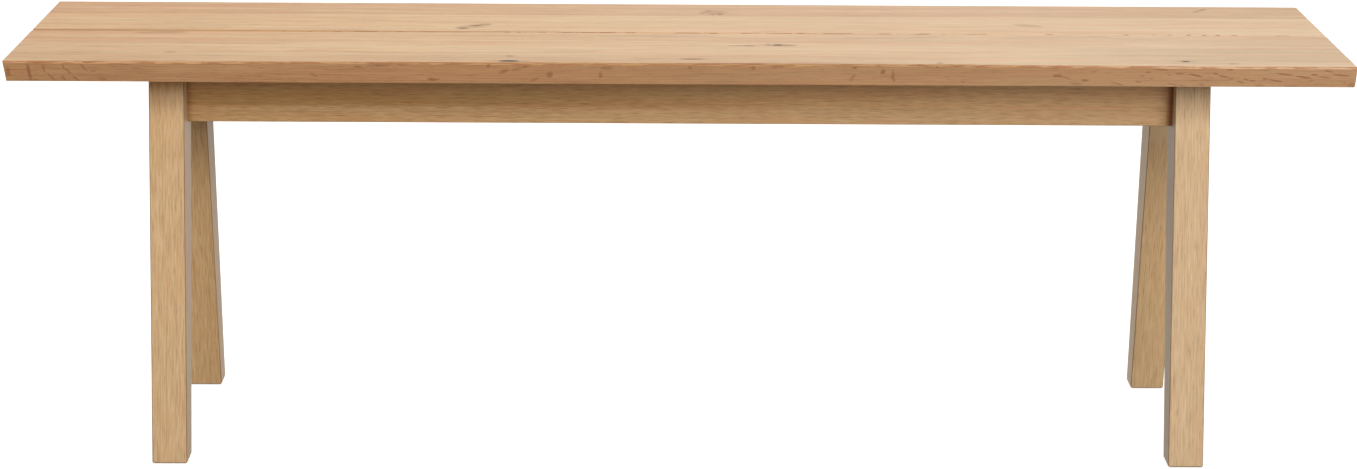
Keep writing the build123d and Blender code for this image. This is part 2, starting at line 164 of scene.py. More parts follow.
# %% What a ray sees
def seen_directly(tree):
    """Gives 1 to a ray from the camera, a mirror or glass, and 0 to light that bounces about."""
    path = add(tree, "LightPath").outputs
    eye_or_mirror = add(
        tree, "Math", {0: path["Is Camera Ray"], 1: path["Is Glossy Ray"]}, operation="MAXIMUM"
    )
    either = {0: eye_or_mirror.outputs[0], 1: path["Is Transmission Ray"]}
    return add(tree, "Math", either, operation="MAXIMUM").outputs[0]


print("rays from the camera, mirrors and glass see the floor and the sky at full brightness")

# %% Floor
floor_half_m = 60.0
floor_glow = 0.90  # what the camera sees of the floor before any light falls on it
floor_paint_seen = "A8A8A8"
floor_paint_bounce = "8A8478"

bpy.ops.object.select_all(action="DESELECT")
bpy.ops.mesh.primitive_plane_add(size=2 * floor_half_m, location=(0.0, 0.0, 0.0))
floor = bpy.context.object
floor.name = "studio_floor"
floor_material, tree = new_material("matt_white_studio_floor")
seen = seen_directly(tree)
paint = add(tree, "BsdfDiffuse", {"Color": linear(floor_paint_seen)})
glow = add(tree, "Emission", {"Strength": floor_glow})
seen_floor = add(tree, "AddShader", {0: paint.outputs[0], 1: glow.outputs[0]})
dull_floor = add(tree, "BsdfDiffuse", {"Color": linear(floor_paint_bounce)})
top_side = add(tree, "MixShader", {0: seen, 1: dull_floor.outputs[0], 2: seen_floor.outputs[0]})
clear = add(tree, "BsdfTransparent")
geometry = add(tree, "NewGeometry")
one_sided = add(
    tree, "MixShader", {0: geometry.outputs["Backfacing"], 1: top_side.outputs[0], 2: clear.outputs[0]}
)
add(tree, "OutputMaterial", {"Surface": one_sided.outputs[0]})
floor.data.materials.append(floor_material)
print(floor.name, "is", 2 * floor_half_m, "m wide")

# %% World
world_bounce = 0.15
world_seen = 1.0
world = bpy.data.worlds.new("white_studio")
bpy.context.scene.world = world
world.use_nodes = True
tree = world.node_tree
tree.nodes.clear()
seen = seen_directly(tree)
strength = add(tree, "MapRange", {"Value": seen, "To Min": world_bounce, "To Max": world_seen})
sky = add(tree, "Background", {"Strength": strength.outputs[0]})
add(tree, "OutputWorld", {"Surface": sky.outputs[0]})
print(world.name, "glows at", world_seen, "to the eye and at", world_bounce, "on the bench")

# %% [markdown]
# ## Lamps
# The shadows tell where the light stood. Each leg shades the end of the apron beside it, the right
# one more than the left, so there were two soft boxes, a strong near one right of the camera and a
# weak one left of it, each some 17 degrees off. The seat's shadow fades out over the whole height of
# the apron, so they were tall, their middles 27 degrees up, and it is softer on the right, where a
# low reflector stood. The top is as bright as the legs' fronts, so another box hung above. A weak
# one behind keeps the back readable. Seen from the far side a box would glare off the lacquer, so
# only the overhead one shows in it. A lamp's power is worked out from how brightly it should light a
# white card that faces it.

# %% Lamps
def soft_box(name, azimuth_deg, elevation_deg, distance_m, width_m, height_m, card_level, aim_z_m=0.3):
    """A rectangular area lamp that lights a white card facing it to the given level, where 1 is white."""
    around, up = math.radians(azimuth_deg), math.radians(elevation_deg)
    towards = Vector((math.sin(around) * math.cos(up), -math.cos(around) * math.cos(up), math.sin(up)))
    lamp = bpy.data.objects.new(name, bpy.data.lights.new(name, "AREA"))
    bpy.context.scene.collection.objects.link(lamp)
    lamp.data.shape = "RECTANGLE"
    lamp.data.size = width_m
    lamp.data.size_y = height_m
    lamp.data.energy = card_level * math.pi**2 * distance_m**2
    lamp.location = Vector((0.0, 0.0, aim_z_m)) + towards * distance_m
    lamp.rotation_euler = towards.to_track_quat("Z", "Y").to_euler()
    lamp.visible_camera = False
    print(name, round(lamp.data.energy), "W")
    return lamp


# Name, degrees round from the front, degrees up, distance, width, height, level on the card
lamps = [
    soft_box("right_soft_box", 18.1, 26.5, 5.2, 2.6, 2.5, 0.71),
    soft_box("left_soft_box", -16.0, 26.5, 8.0, 3.0, 3.9, 0.21),
    soft_box("low_reflector", 43.0, 4.0, 2.2, 0.8, 0.8, 0.07),
    soft_box("overhead_soft_box", 180.0, 78.0, 3.6, 3.2, 2.0, 0.62),
    soft_box("rear_soft_box", 205.0, 35.0, 6.0, 2.4, 2.4, 0.25),
]
for lamp in lamps:
    lamp.visible_glossy = lamp.name == "overhead_soft_box"

# %% [markdown]
# ## Oak
# Oak is a ring-porous wood. Each spring it lays a row of open pores, which show on a planed face as
# short dark dashes, and each summer a band of dense, smooth wood. A board sawn through the log cuts
# those rings into the long streaks and arches that are called its figure. The figure here is a
# pattern of rings round an axis, the pith, which lies outside the board, stretched along the grain
# and bent by slow noise. Fine streaks, pores and a slow change of tone are laid over it. Each board
# gets its own pith and its own stretch of the noise, so no two boards repeat.
# The finish is a clear satin lacquer: it gives a soft, broad sheen at a glancing angle and hardly
# any when looked at straight on.

# %% Streaks and washes
def grain_scale(along_mm, across_mm):
    """Mapping scales for a pattern so long along the grain, and so wide across it."""
    return (1000 / along_mm, 1000 / across_mm, 1000 / across_mm)


def fibres(tree, point, along_mm, across_mm, detail=2.0, roughness=0.5):
    """Streaks about so long and so wide, as a value round 0.5."""
    laid = add(tree, "Mapping", {"Vector": point, "Scale": grain_scale(along_mm, across_mm)})
    streaks = {"Vector": laid.outputs[0], "Scale": 1.0, "Detail": detail, "Roughness": roughness}
    return add(tree, "TexNoise", streaks).outputs


def wash(tree, figure, colour, limits, share=1.0, blend="MIX"):
    """Lays a colour, a hex or an output, where every value has passed from one limit to the other."""
    for value, low, high in limits:
        fade = {"Value": value, "From Min": low, "From Max": high, "To Max": share}
        share = add(tree, "MapRange", fade, interpolation_type="SMOOTHSTEP").outputs[0]
    laid_on = linear(colour) if isinstance(colour, str) else colour
    both = {0: share, MIX_A: figure["colour"], MIX_B: laid_on}
    mixed = add(tree, "Mix", both, data_type="RGBA", blend_type=blend)
    return {**figure, "colour": mixed.outputs[MIX_OUT]}


def stain(tree, figure, colour, limits, share=1.0):
    """Darkens with a colour, and leaves the grain to show, where a wash would cover it."""
    return wash(tree, figure, colour, limits, share, "MULTIPLY")


def between(figure, axis, from_mm, to_mm):
    """Limits for a wash that comes in from one place to another along an axis."""
    return (figure[axis], from_mm * MM, to_mm * MM)


print("streaks of 130 by 6 mm need a scale of", [round(part, 1) for part in grain_scale(130, 6)])

# %% A board's figure
ring_mm = 3.0  # one year's growth
wave_gap = 2 * math.pi / 20  # a wave texture of scale 1 draws its rings so far apart
spring_limits = (0.45, 0.0)  # where in a ring the open spring wood fades in
pore_limits = (0.56, 0.68)  # the noise above which there is a pore


def oak_figure(tree, board, turn=(0.0, 0.0, 0.0)):
    """The colour and relief of a board, whose sizes and shares are given by name in a dictionary."""
    place = add(tree, "TexCoord").outputs["Object"]
    parted = add(tree, "SeparateXYZ", {0: place})
    from_pith = [-part * MM for part in board["pith_mm"]]
    turned = {"Vector": place, "Rotation": turn, "Location": from_pith}
    laid = add(tree, "Mapping", turned).outputs[0]
    wander = fibres(tree, laid, 420, 45)["Color"]
    centred = add(tree, "VectorMath", {0: wander, 1: (0.5, 0.5, 0.5)}, operation="SUBTRACT")
    reach = (0.0, board["wander_mm"] * MM, board["wander_mm"] * MM)
    pushed = add(tree, "VectorMath", {0: centred.outputs[0], 1: reach}, operation="MULTIPLY")
    bent = add(tree, "VectorMath", {0: laid, 1: pushed.outputs[0]}, operation="ADD").outputs[0]
    stretched = add(tree, "Mapping", {"Vector": bent, "Scale": (0.08, 1.0, 1.0)})
    waves = {
        "Vector": stretched.outputs[0],
        "Scale": wave_gap / (ring_mm * MM),
        "Distortion": 2.5,
        "Detail": 2.0,
        "Detail Scale": 1.0,
    }
    rings = add(tree, "TexWave", waves, wave_type="RINGS", rings_direction="X", wave_profile="SAW")
    fade = {"Value": rings.outputs["Fac"], "From Min": spring_limits[0], "From Max": spring_limits[1]}
    spring = add(tree, "MapRange", fade, interpolation_type="SMOOTHSTEP").outputs[0]
    band = fibres(tree, bent, *board["band_mm"], detail=3.0)[0]
    fibre = fibres(tree, bent, *board["fibre_mm"], detail=4.0, roughness=0.6)[0]
    grit = fibres(tree, laid, *board["grit_mm"], detail=1.0)[0]
    pitted = fibres(tree, laid, *board["pore_mm"], detail=1.0)[0]
    fade = {"Value": pitted, "From Min": pore_limits[0], "From Max": pore_limits[1]}
    dashes = add(tree, "MapRange", fade, interpolation_type="SMOOTHSTEP").outputs[0]
    rich = add(tree, "Math", {0: spring, 1: 0.6, 2: 0.4}, operation="MULTIPLY_ADD")
    pores = add(tree, "Math", {0: dashes, 1: rich.outputs[0]}, operation="MULTIPLY").outputs[0]
    parts = (
        (band, board["band_share"]),
        (fibre, board["fibre_share"]),
        (grit, board["grit_share"]),
        (spring, -board["ring_share"]),
    )
    level = 0.5 - 0.5 * sum(share for part, share in parts)
    for part, share in (*parts, (pores, -board["pore_share"])):
        level = add(tree, "Math", {0: part, 1: share, 2: level}, operation="MULTIPLY_ADD").outputs[0]
    ramp = add(tree, "ValToRGB", {"Fac": level}, stops=list(zip((0.0, 0.5, 1.0), board["tones"])))
    felt = add(tree, "Math", {0: grit, 1: 0.5, 2: fibre}, operation="MULTIPLY_ADD")
    felt = add(tree, "Math", {0: felt.outputs[0], 1: pores}, operation="SUBTRACT")
    figure = {
        "place": place,
        "x": parted.outputs["X"],
        "y": parted.outputs["Y"],
        "z": parted.outputs["Z"],
        "colour": ramp.outputs[0],
        "relief": felt.outputs[0],
        "fibre": fibre,
        "dry": 0.0,
    }
    flush = fibres(tree, bent, *board["blush_mm"])[0]
    return stain(tree, figure, board["blush"], [(flush, 0.40, 0.62)], board["blush_share"])


print("a year's ring is", ring_mm, "mm wide")

# %% Lacquer
satin_roughness = 0.52
sheen_spread = 0.06  # how much the fibres change it, either way
dry_roughness = 0.22  # how much rougher the coat is where it sank in
lacquer_ior = 1.45
felt_mm = 0.15  # how deep the grain is felt through the coat


def satin_lacquer(tree, figure):
    """A clear satin coat over the figure, with the grain just felt through it, and duller where dry."""
    bump = add(
        tree, "Bump", {"Height": figure["relief"], "Strength": 0.25, "Distance": felt_mm * MM}
    )
    dull, bright = satin_roughness + sheen_spread, satin_roughness - sheen_spread
    sheen = add(tree, "MapRange", {"Value": figure["fibre"], "To Min": bright, "To Max": dull})
    dried = {0: figure["dry"], 1: dry_roughness, 2: sheen.outputs[0]}
    rough = add(tree, "Math", dried, operation="MULTIPLY_ADD")
    coated = {
        "Base Color": figure["colour"],
        "Roughness": rough.outputs[0],
        "Normal": bump.outputs[0],
        "IOR": lacquer_ior,
    }
    surface(tree, coated)


print("satin lacquer has a roughness of", satin_roughness, "and an IOR of", lacquer_ior)

# %% Changes along the bench
def along_bench(tree, figure, stops):
    """A colour that changes from end to end of the bench, through stops of (mm, hex)."""
    ends = {"Value": figure["x"], "From Min": -half_length * MM, "From Max": half_length * MM}
    share = add(tree, "MapRange", ends)
    placed = [((along_mm + half_length) / (2 * half_length), tone) for along_mm, tone in stops]
    return add(tree, "ValToRGB", {"Fac": share.outputs[0]}, stops=placed).outputs[0]


def painted_sheen_to_the_right(tree, figure, share):
    """Paints a sheen over the right half of the bench, a little paler and cooler than the left, standing
    in for the near lamp's reflection in the lacquer.
    """
    rightwards = between(figure, "x", -1.2 * half_length, 0.8 * half_length)
    return wash(tree, figure, "E6DCCB", [rightwards], share)


print("colours can change over", 2 * half_length, "mm")

# %% [markdown]
# ## Marks in the wood
# Real boards have knots, dark mineral streaks and, on a face sawn towards the pith, the flecks of
# the rays. Each one is a soft ellipse at its own place, turned to its own slant. Slow noise frays
# its outline, so that it looks grown and not stamped.

# %% One function for every mark
fray_wide_mm = 3.5  # how wide the noise is that frays a mark


def with_marks(tree, figure, marks, mark_hex, fray_mm=1.2, fray_along_mm=14.0, core=0.6, grow=1.0):
    """Lays marks over a figure. A mark is its middle and half sizes in mm, its turns and its depth."""
    fray = fibres(tree, figure["place"], fray_along_mm, fray_wide_mm)["Color"]
    centred = add(tree, "VectorMath", {0: fray, 1: (0.5, 0.5, 0.5)}, operation="SUBTRACT")
    reach = {0: centred.outputs[0], "Scale": 2 * fray_mm * MM}
    pushed = add(tree, "VectorMath", reach, operation="SCALE")
    point = add(tree, "VectorMath", {0: figure["place"], 1: pushed.outputs[0]}, operation="ADD")
    for middle, half_sizes, turn_deg, depth in marks:
        laid = {
            "Vector": point.outputs[0],
            "Location": [part * MM for part in middle],
            "Rotation": [math.radians(part) for part in turn_deg],
            "Scale": [part * grow * MM for part in half_sizes],
        }
        inside = add(tree, "Mapping", laid, vector_type="TEXTURE")
        depth_in = add(tree, "TexGradient", {"Vector": inside.outputs[0]}, gradient_type="SPHERICAL")
        figure = wash(tree, figure, mark_hex, [(depth_in.outputs["Fac"], 0.0, 1.0 - core)], depth)
    return figure


print("marks fray in pieces", fray_wide_mm, "mm wide")

# %% [markdown]
# ## The seat's staves
# The seat is glued up from four solid oak staves, two to each board, and the two boards meet in a
# V-groove. The maker eased the long edges by hand with a scraper, so the arris widens and narrows
# in short strokes, and the lip of the groove is ragged in the same way. A straight bevel would look
# machined. So each stave starts as a cube at its real size, its rim leans in as the real one does,
# the ends and long edges are bevelled, and the long edges are cut into short lengths, so that the
# bevel can be moved a little in or out along the bench, as the scraper went.

# %% Editing helpers
def start_block(name, low_mm, high_mm):
    """Adds a cube of its real size and place, with the place in its mesh, and opens it in edit mode."""
    low, high = Vector(low_mm) * MM, Vector(high_mm) * MM
    bpy.ops.object.select_all(action="DESELECT")
    bpy.ops.mesh.primitive_cube_add(size=1, location=(low + high) / 2, scale=high - low)
    block = bpy.context.object
    block.name = name
    block.data.name = name
    bpy.ops.object.transform_apply(location=True, rotation=True, scale=True)
    bpy.ops.object.mode_set(mode="EDIT")
    bpy.ops.mesh.select_mode(type="EDGE")
    return block


def pick_edges(block, wanted):
    """Selects the edges whose two ends, in mm, satisfy the test, and says how many they are."""
    bpy.ops.mesh.select_all(action="DESELECT")
    shape = bmesh.from_edit_mesh(block.data)
    picked = 0
    for edge in shape.edges:
        first, second = (end.co / MM for end in edge.verts)
        if wanted(first, second):
            edge.select = True
            picked += 1
    shape.select_flush_mode()
    bmesh.update_edit_mesh(block.data)
    return picked


print("each stave starts as one cube with 12 edges")

# %% The seat's sizes
seat_top = (cad_high / MM).z
seat_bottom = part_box("front_outer_stave")[0].z / MM
half_depth = (cad_high / MM).y
rim_lean = 3.0  # how far the long rims lean in over the seat's thickness
left_end_lean = 3.5
right_end_lean = 1.9
rim_cut = 6.0  # the bevel on the rim, before it is scraped
groove_cut = 5.0
joint_gap = 0.12  # each board's share of the hairline at the bottom of the groove
end_round = 0.8  # the ends' upper and upright edges
sharp_round = 0.8  # the left end's lower edge
soft_round = 3.0  # the right end's lower edge
front_corner_round = 1.0  # the seat's corners, seen from above
rear_corner_round = 3.0
slice_mm = 4.0  # the lengths that the long edges are cut into
near = 0.1  # closer than this lies on a plane
print("seat", round(2 * half_length), "x", round(2 * half_depth), "x", round(seat_top - seat_bottom, 1))

# %% The scraper's strokes
arris_width, arris_drop = 6.8, 1.6  # on the top and down the rim, in the middle of the bench
less_at_left, less_at_right = 3.6, 3.0  # how much narrower the arris is at the ends
more_drop = 0.6  # and how much steeper
least_width, least_drop = 1.5, 0.4


def share_past(place_mm, from_mm, over_mm):
    """Rises from 0 to 1 over a length, from a place on."""
    return min(max((place_mm - from_mm) / over_mm, 0.0), 1.0)


def stroke(along_mm, length_mm, seed):
    """Smooth noise from -1 to 1 along the bench, in strokes of about the given length."""
    return noise.noise(Vector((along_mm / length_mm, seed, 0.37 * seed)))


def front_arris(along_mm):
    """Width on the top and drop down the rim: narrow and steep at both ends, and wider between."""
    left_share = share_past(-along_mm, 430.0, 220.0)
    right_share = share_past(along_mm, 340.0, 150.0)
    width = arris_width - less_at_left * left_share - less_at_right * right_share
    drop = arris_drop + more_drop * left_share + more_drop * right_share
    strokes = 0.5 * stroke(along_mm, 34.0, 1.0) + 0.35 * stroke(along_mm, 12.0, 6.0)
    slow = stroke(along_mm, 210.0, 10.0)
    width *= 1.0 + 0.45 * strokes + 0.25 * slow
    drop *= 1.0 + 0.5 * stroke(along_mm, 23.0, 3.0) + 0.25 * slow
    return max(width, least_width), max(drop, least_drop)


def rear_arris(along_mm):
    """The arris along the back is narrower, steeper and more even."""
    width = 3.0 * (1.0 + 0.15 * stroke(along_mm, 40.0, 3.0))
    return width, 1.8 * (1.0 + 0.15 * stroke(along_mm, 25.0, 5.0))


def groove_lip(seed):
    """Gives a profile for one lip of the groove: deep at the left end, shallow and nicked further on."""
    def lip(along_mm):
        left_share = share_past(-along_mm, 270.0, 160.0)
        nick = max(stroke(along_mm, 17.0, seed), 0.0)
        ragged = stroke(along_mm, 7.0, seed + 3.0)
        width = 3.1 + 1.5 * left_share + 1.1 * nick * (1.0 - left_share) + 0.6 * ragged
        return width, min(width, groove_cut)
    return lip


print("front arris in the middle:", [round(size, 1) for size in front_arris(0.0)], "mm")

# %% Shaping one long edge
bevel_normals = (0.25, 0.97)  # how far up a bevel's faces point


def mark_bevel_faces(block, edge_y, cut_mm):
    """Writes a 1 on the faces of the bevel along y = edge_y, for the material to read."""
    work = block.data.attributes.get("edge_work")
    if work is None:
        work = block.data.attributes.new("edge_work", "FLOAT", "FACE")
    for face in block.data.polygons:
        away, down = abs(face.center.y / MM - edge_y), seat_top - face.center.z / MM
        upward = bevel_normals[0] < face.normal.z < bevel_normals[1]
        sloping = upward and abs(face.normal.x) < 0.3
        if sloping and max(away, down) < cut_mm:
            work.data[face.index].value = 1.0


def reshape_edge(block, edge_y, towards, cut_mm, lean, profile):
    """Moves the bevel at y = edge_y to the profile at each place: two edges, and a belly between."""
    for vertex in block.data.vertices:
        along, across, up = vertex.co / MM
        below = seat_top - up
        inward = (edge_y - across) * towards - lean * below
        past_bevel = max(inward, below) > cut_mm + 2 * near or inward + below > 1.35 * cut_mm
        if past_bevel:
            continue
        width, drop = profile(along)
        side = min(max((inward - below) / cut_mm, -1.0), 1.0)
        middle = (1 - math.sqrt(0.5)) * cut_mm
        belly_in, belly_down = 0.40 * width - middle, 0.34 * drop - middle
        if side >= 0:
            shift_in = side * (width - cut_mm) + (1 - side) * belly_in
            shift_down = (1 - side) * belly_down
        else:
            shift_in = (1 + side) * belly_in
            shift_down = -side * (drop - cut_mm) + (1 + side) * belly_down
        vertex.co.y -= towards * (shift_in + lean * shift_down) * MM
        vertex.co.z -= shift_down * MM


def weigh_end_edges(block, glued):
    """Gives each edge at the stave's two ends its share of the end bevel, as a bevel weight."""
    bpy.ops.mesh.select_all(action="DESELECT")
    shape = bmesh.from_edit_mesh(block.data)
    weights = shape.edges.layers.float.new("bevel_weight_edge")
    for edge in shape.edges:
        first, second = (end.co / MM for end in edge.verts)
        at_end = min(abs(first.x), abs(second.x)) > half_length - 5.0 and first.x * second.x > 0
        if not at_end or any(max(abs(first.y - y), abs(second.y - y)) < near for y in glued):
            continue
        rim_corner = abs(first.z - second.z) > 0.5 * (seat_top - seat_bottom) and abs(first.y) > 100.0
        rounding = end_round
        if max(first.z, second.z) < seat_bottom + near:
            rounding = soft_round if first.x > 0 else sharp_round
        elif rim_corner:
            rounding = rear_corner_round if first.y > 0 else front_corner_round
        edge[weights] = rounding / soft_round
    bmesh.update_edit_mesh(block.data)


def sharpen_work_borders(block):
    """Marks the edges between a bevel and its neighbours as sharp, however flat the bevel came out."""
    bpy.ops.object.mode_set(mode="EDIT")
    bpy.ops.mesh.select_all(action="DESELECT")
    shape = bmesh.from_edit_mesh(block.data)
    work = shape.faces.layers.float.get("edge_work")
    for edge in shape.edges:
        if len({round(face[work]) for face in edge.link_faces}) > 1:
            edge.smooth = False
    bmesh.update_edit_mesh(block.data)
    bpy.ops.object.mode_set(mode="OBJECT")


flattest, steepest = (round(math.degrees(math.acos(up))) for up in reversed(bevel_normals))
print("scraped faces slope by", flattest, "to", steepest, "degrees")

# %% One stave
def make_stave(name, from_y, to_y):
    """Builds a stave between two y. Its free long edges are the rim, or the groove at y = 0."""
    low = (-half_length, max(from_y, -half_depth), seat_bottom)
    high = (half_length, min(to_y, half_depth), seat_top)
    block = start_block(name + "_scraped", low, high)
    rims = [y for y in (from_y, to_y) if abs(y) >= half_depth]
    grooves = [y for y in (from_y, to_y) if abs(y) < 1.0]
    glued = [y for y in (from_y, to_y) if y not in rims + grooves]
    cuts = {**{y: rim_cut for y in rims}, **{y: groove_cut for y in grooves}}
    leans = [(0, -1, left_end_lean), (0, 1, right_end_lean)]
    leans += [(1, math.copysign(1, y), rim_lean) for y in rims]
    for axis, side, lean_mm in leans:
        plane = (half_length, half_depth)[axis] - near
        pick_edges(
            block,
            lambda a, b: max(a.z, b.z) < seat_bottom + near
            and min(side * a[axis], side * b[axis]) > plane,
        )
        inwards = [0.0, 0.0, 0.0]
        inwards[axis] = -side * lean_mm * MM
        bpy.ops.transform.translate(value=inwards)
    for edge_y, cut in cuts.items():
        pick_edges(
            block,
            lambda a, b: min(a.z, b.z) > seat_top - near
            and max(abs(a.y - edge_y), abs(b.y - edge_y)) < near
            and abs(a.x - b.x) > half_length,
        )
        bpy.ops.mesh.bevel(offset=cut * MM, segments=2, profile=0.5)
    weigh_end_edges(block, glued)
    bpy.ops.object.mode_set(mode="OBJECT")
    rounded = block.modifiers.new("end_rounds", "BEVEL")
    rounded.limit_method = "WEIGHT"
    rounded.width = soft_round * MM
    rounded.segments = 3
    rounded.use_clamp_overlap = False
    bpy.ops.object.modifier_apply(modifier=rounded.name)
    for edge_y, cut in cuts.items():
        mark_bevel_faces(block, edge_y, cut)
    bpy.ops.object.mode_set(mode="EDIT")
    pick_edges(block, lambda a, b: abs(a.x - b.x) > half_length)
    bpy.ops.mesh.subdivide(number_cuts=round(2 * half_length / slice_mm) - 1)
    bpy.ops.object.mode_set(mode="OBJECT")
    for edge_y in rims:
        side = math.copysign(1, edge_y)
        lean = rim_lean / (seat_top - seat_bottom)
        reshape_edge(block, edge_y, side, rim_cut, lean, front_arris if side < 0 else rear_arris)
    for edge_y in grooves:
        side = -1 if edge_y == from_y else 1
        reshape_edge(block, edge_y, side, groove_cut, 0.0, groove_lip(7.0 + 2 * side))
    bpy.ops.object.shade_smooth_by_angle(angle=math.radians(9.0))
    sharpen_work_borders(block)
    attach(block, "root")
    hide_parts(name)
    sizes = [round(size / MM, 1) for size in block.dimensions]
    print(name, len(block.data.polygons), "faces,", sizes, "mm")
    return block


glue_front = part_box("front_outer_stave")[1].y / MM
glue_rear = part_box("rear_outer_stave")[0].y / MM
rear_outer = make_stave("rear_outer_stave", glue_rear, half_depth)
rear_inner = make_stave("rear_inner_stave", joint_gap, glue_rear)
front_inner = make_stave("front_inner_stave", glue_front, -joint_gap)
front_outer = make_stave("front_outer_stave", -half_depth, glue_front)

# %% [markdown]
# ## The staves' oak
# The four staves come from different boards, so two are pinker and two more yellow, and the joints
# show as nothing more than that change of tone. On the rim the figure is cut from the side: it
# takes the lacquer darker and redder, and shows ray flecks. The ends are the darkest: the end grain
# drinks the most lacquer, and painted shade darkens the ends and their bevels further, against the
# highlight the lamps put on them. The scraped arris is fresh wood, more golden than the rest and
# duller, because the lacquer sank into it. The slope of the groove is browner at its left end, where
# it is deepest, partly wood tone and partly painted shade; further on it is nicked, with dark dashes
# of painted shade low on its slope and along its rear lip. The rim is found by how steep its face
# is, and the scraped faces by the value that was written on them when they were made.

# %% Rim, arris and groove over a stave's figure
rim_normals = (0.9, 0.6)  # how far up a face points where the rim's colour fades in


def with_rim(tree, figure, rim_hex):
    """Darkens the rim by rim_hex, and the ends more: end grain, with painted shade over their lamp-lit
    bevels. Draws the arris's ragged dark edge.
    """
    facing = add(tree, "SeparateXYZ", {0: add(tree, "NewGeometry").outputs["Normal"]})
    steep = (facing.outputs["Z"], *rim_normals)
    figure = stain(tree, figure, rim_hex, [steep])
    to_the_right = between(figure, "x", -500, 0)
    figure = stain(tree, figure, "F5F6F0", [steep, to_the_right])
    far_right = between(figure, "x", 200, 420)
    figure = stain(tree, figure, "EFEAE6", [steep, far_right])
    # the ends and their bevels: darker end grain, and painted shade over the highlight on the bevels
    endwards = add(tree, "Math", {0: facing.outputs["X"]}, operation="ABSOLUTE").outputs[0]
    figure = stain(tree, figure, "E4D6C6", [(endwards, 0.1, 0.35)])
    ragged = fibres(tree, figure["place"], 12, 40, detail=2.0)[0]
    ragged_z = add(tree, "Math", {0: ragged, 1: -0.007, 2: figure["z"]}, operation="MULTIPLY_ADD")
    near_arris = (ragged_z.outputs[0], (seat_top - 6.5) * MM, (seat_top - 4.0) * MM)
    return wash(tree, figure, "9A6540", [steep, near_arris], 0.3)


def with_worked_edge(tree, figure, stops, dash_mm, dash_hex, dash_share, where=()):
    """Colours the scraped faces, with darker dashes of a length and width, and leaves them dry."""
    scraped = {**figure, "colour": along_bench(tree, figure, stops)}
    limits = [(fibres(tree, figure["place"], *dash_mm)[0], 0.46, 0.56), *where]
    scraped = stain(tree, scraped, dash_hex, limits, dash_share)
    work = add(tree, "Attribute", attribute_name="edge_work").outputs["Fac"]
    return {**wash(tree, figure, scraped["colour"], [(work, 0.4, 0.6)]), "dry": work}


def dress(piece, material):
    """Gives a piece one material in its only slot."""
    if piece.material_slots:
        for slot in piece.material_slots:
            slot.material = material
    else:
        piece.data.materials.append(material)


print("the rim's colour is full from", round(math.degrees(math.acos(rim_normals[1]))), "degrees on")

# %% Knots and streaks of the top
def on_the_top(rows):
    """Marks on the top, from rows of x, y, half length, half width, turn and depth."""
    return [
        ((x, y, seat_top), (long, wide, 3), (0, 0, turn), depth)
        for x, y, long, wide, turn, depth in rows
    ]


BLACK_KNOT = "3E2E20"
BROWN_STREAK = "7C5432"
top_knots = {
    "front_outer": [(-191, -175.5, 13, 6, 0, 0.95), (563, -160, 5, 4, 0, 0.95)],
    "front_inner": [(78, -79, 8, 4, 0, 0.5), (100, -73, 3, 4, 0, 0.4), (111, -73, 6, 6, 0, 0.6)],
    "rear_inner": [(-253, 22, 5, 4, 0, 0.5), (-238, 39, 4, 4, 0, 0.5)],
    "rear_outer": [
        (35, 143, 5, 4, 0, 0.45), (49, 121, 4, 5, 0, 0.5), (621, 153, 3, 4, 0, 0.35),
        (635, 169, 4, 4, 0, 0.4),
    ],
}
top_streaks = {
    "front_outer": [
        (-191, -176, 30, 5, -2, 0.4), (-191, -147, 6, 5, 0, 0.5), (13, -159, 18, 5, 2, 0.7),
        (11, -159, 8, 3, 0, 0.6), (288, -175, 5, 4, 0, 0.65), (563, -159, 15, 6, 0, 0.3),
        (615, -172, 8, 4, 0, 0.45), (-572, -133, 9, 6, 20, 0.35),
    ],
    "front_inner": [
        (72, -79, 24, 4, 0, 0.55), (117, -76, 18, 6, 0, 0.45), (112, -74, 26, 10, 0, 0.25),
        (-597, -13, 38, 9, 4, 0.4),
    ],
    "rear_inner": [
        (-253, 22, 10, 5, 0, 0.7), (-238, 39, 9, 5, 10, 0.65), (-228, 48, 10, 7, 25, 0.4),
        (-241, 35, 28, 14, 30, 0.3), (410, 56, 22, 10, -20, 0.3),
    ],
    "rear_outer": [
        (42, 133, 20, 16, 0, 0.3), (27, 127, 5, 4, 0, 0.4), (40, 120, 4, 4, 0, 0.4),
        (628, 161, 13, 4, 50, 0.45),
    ],
}
print(sum(len(rows) for rows in (*top_knots.values(), *top_streaks.values())), "marks on the top")

# %% Ray flecks of the front rim
def on_the_rim(rows):
    """Marks on the front rim, from rows of x, z, half length, half height, slant and depth."""
    return [
        ((x, rim_y, z), (long, 4, high), (0, slant, 0), depth)
        for x, z, long, high, slant, depth in rows
    ]


